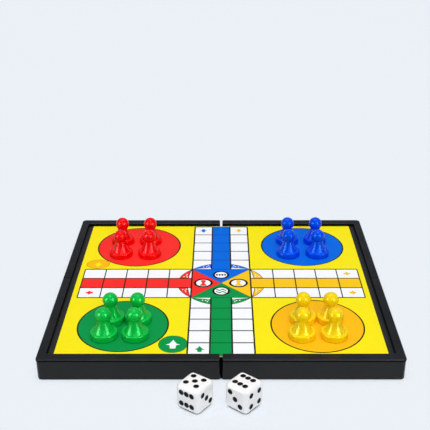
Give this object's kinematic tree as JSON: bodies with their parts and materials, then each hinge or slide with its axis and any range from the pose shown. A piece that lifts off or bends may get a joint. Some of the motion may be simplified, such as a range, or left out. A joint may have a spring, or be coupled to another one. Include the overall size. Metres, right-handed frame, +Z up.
{
  "type": "folding ludo board box",
  "caption": "Folding ludo board in two hinged black plastic trays with a printed playing face, shown open with its magnetic pawns and dice.",
  "frame": {"origin": "on the table, in the middle of the space that the open board and the dice in front of it take up", "axes": "+X across the fold, from the left half to the right half; +Y along the fold, away from the dice; +Z up"},
  "size_m": [0.2014, 0.2132, 0.0293],
  "materials": {
    "case_plastic": "satin black moulded plastic",
    "plate_steel": "thin tinned sheet",
    "print_card": "printed sheet, satin varnish",
    "pin_steel": "drawn wire",
    "magnet_nickel": "nickel plated",
    "pawn_red": "polished moulded plastic",
    "pawn_green": "polished moulded plastic",
    "pawn_blue": "polished moulded plastic",
    "pawn_yellow": "polished moulded plastic",
    "dice_white": "polished moulded plastic"
  },
  "bodies": {
    "left_half": {"left_tray": "case_plastic", "left_steel_plate": "plate_steel", "left_print_sheet": "print_card", "left_hinge_pins": "pin_steel", "left_closure_magnets": "magnet_nickel"},
    "hinge_links": {"hinge_link_front": "case_plastic", "hinge_link_rear": "case_plastic"},
    "right_half": {"right_tray": "case_plastic", "right_steel_plate": "plate_steel", "right_print_sheet": "print_card", "right_hinge_pins": "pin_steel", "right_closure_magnets": "magnet_nickel"},
    "red_pawn_1_body": {"red_pawn_1": "pawn_red", "red_pawn_1_magnet": "magnet_nickel"},
    "red_pawn_2_body": {"red_pawn_2": "pawn_red", "red_pawn_2_magnet": "magnet_nickel"},
    "red_pawn_3_body": {"red_pawn_3": "pawn_red", "red_pawn_3_magnet": "magnet_nickel"},
    "red_pawn_4_body": {"red_pawn_4": "pawn_red", "red_pawn_4_magnet": "magnet_nickel"},
    "green_pawn_1_body": {"green_pawn_1": "pawn_green", "green_pawn_1_magnet": "magnet_nickel"},
    "green_pawn_2_body": {"green_pawn_2": "pawn_green", "green_pawn_2_magnet": "magnet_nickel"},
    "green_pawn_3_body": {"green_pawn_3": "pawn_green", "green_pawn_3_magnet": "magnet_nickel"},
    "green_pawn_4_body": {"green_pawn_4": "pawn_green", "green_pawn_4_magnet": "magnet_nickel"},
    "blue_pawn_1_body": {"blue_pawn_1": "pawn_blue", "blue_pawn_1_magnet": "magnet_nickel"},
    "blue_pawn_2_body": {"blue_pawn_2": "pawn_blue", "blue_pawn_2_magnet": "magnet_nickel"},
    "blue_pawn_3_body": {"blue_pawn_3": "pawn_blue", "blue_pawn_3_magnet": "magnet_nickel"},
    "blue_pawn_4_body": {"blue_pawn_4": "pawn_blue", "blue_pawn_4_magnet": "magnet_nickel"},
    "yellow_pawn_1_body": {"yellow_pawn_1": "pawn_yellow", "yellow_pawn_1_magnet": "magnet_nickel"},
    "yellow_pawn_2_body": {"yellow_pawn_2": "pawn_yellow", "yellow_pawn_2_magnet": "magnet_nickel"},
    "yellow_pawn_3_body": {"yellow_pawn_3": "pawn_yellow", "yellow_pawn_3_magnet": "magnet_nickel"},
    "yellow_pawn_4_body": {"yellow_pawn_4": "pawn_yellow", "yellow_pawn_4_magnet": "magnet_nickel"},
    "die_left_body": {"die_left": "dice_white"},
    "die_right_body": {"die_right": "dice_white"}
  },
  "joints": [
    {"name": "fold_left", "type": "hinge", "parent": "left_half", "child": "hinge_links", "pos_m": [-0.0024, 0.01559, 0.00235], "axis": [0, 1, 0], "range_deg": [0, 90]},
    {"name": "fold_right", "type": "hinge", "parent": "hinge_links", "child": "right_half", "pos_m": [0.0024, 0.01559, 0.00235], "axis": [0, 1, 0], "range_deg": [0, 90]},
    {"name": "red_pawn_1_lift", "type": "slide", "parent": "left_half", "child": "red_pawn_1_body", "axis": [0, 0, 1], "range_m": [0, 0.03]},
    {"name": "red_pawn_2_lift", "type": "slide", "parent": "left_half", "child": "red_pawn_2_body", "axis": [0, 0, 1], "range_m": [0, 0.03]},
    {"name": "red_pawn_3_lift", "type": "slide", "parent": "left_half", "child": "red_pawn_3_body", "axis": [0, 0, 1], "range_m": [0, 0.03]},
    {"name": "red_pawn_4_lift", "type": "slide", "parent": "left_half", "child": "red_pawn_4_body", "axis": [0, 0, 1], "range_m": [0, 0.03]},
    {"name": "green_pawn_1_lift", "type": "slide", "parent": "left_half", "child": "green_pawn_1_body", "axis": [0, 0, 1], "range_m": [0, 0.03]},
    {"name": "green_pawn_2_lift", "type": "slide", "parent": "left_half", "child": "green_pawn_2_body", "axis": [0, 0, 1], "range_m": [0, 0.03]},
    {"name": "green_pawn_3_lift", "type": "slide", "parent": "left_half", "child": "green_pawn_3_body", "axis": [0, 0, 1], "range_m": [0, 0.03]},
    {"name": "green_pawn_4_lift", "type": "slide", "parent": "left_half", "child": "green_pawn_4_body", "axis": [0, 0, 1], "range_m": [0, 0.03]},
    {"name": "blue_pawn_1_lift", "type": "slide", "parent": "right_half", "child": "blue_pawn_1_body", "axis": [0, 0, 1], "range_m": [0, 0.03]},
    {"name": "blue_pawn_2_lift", "type": "slide", "parent": "right_half", "child": "blue_pawn_2_body", "axis": [0, 0, 1], "range_m": [0, 0.03]},
    {"name": "blue_pawn_3_lift", "type": "slide", "parent": "right_half", "child": "blue_pawn_3_body", "axis": [0, 0, 1], "range_m": [0, 0.03]},
    {"name": "blue_pawn_4_lift", "type": "slide", "parent": "right_half", "child": "blue_pawn_4_body", "axis": [0, 0, 1], "range_m": [0, 0.03]},
    {"name": "yellow_pawn_1_lift", "type": "slide", "parent": "right_half", "child": "yellow_pawn_1_body", "axis": [0, 0, 1], "range_m": [0, 0.03]},
    {"name": "yellow_pawn_2_lift", "type": "slide", "parent": "right_half", "child": "yellow_pawn_2_body", "axis": [0, 0, 1], "range_m": [0, 0.03]},
    {"name": "yellow_pawn_3_lift", "type": "slide", "parent": "right_half", "child": "yellow_pawn_3_body", "axis": [0, 0, 1], "range_m": [0, 0.03]},
    {"name": "yellow_pawn_4_lift", "type": "slide", "parent": "right_half", "child": "yellow_pawn_4_body", "axis": [0, 0, 1], "range_m": [0, 0.03]},
    {"name": "die_left_lift", "type": "slide", "parent": "left_half", "child": "die_left_body", "axis": [0, 0, 1], "range_m": [0, 0.03]},
    {"name": "die_right_lift", "type": "slide", "parent": "left_half", "child": "die_right_body", "axis": [0, 0, 1], "range_m": [0, 0.03]}
  ],
  "couplings": [
    {"joint": "fold_right", "follows": "fold_left", "ratio": 1}
  ]
}
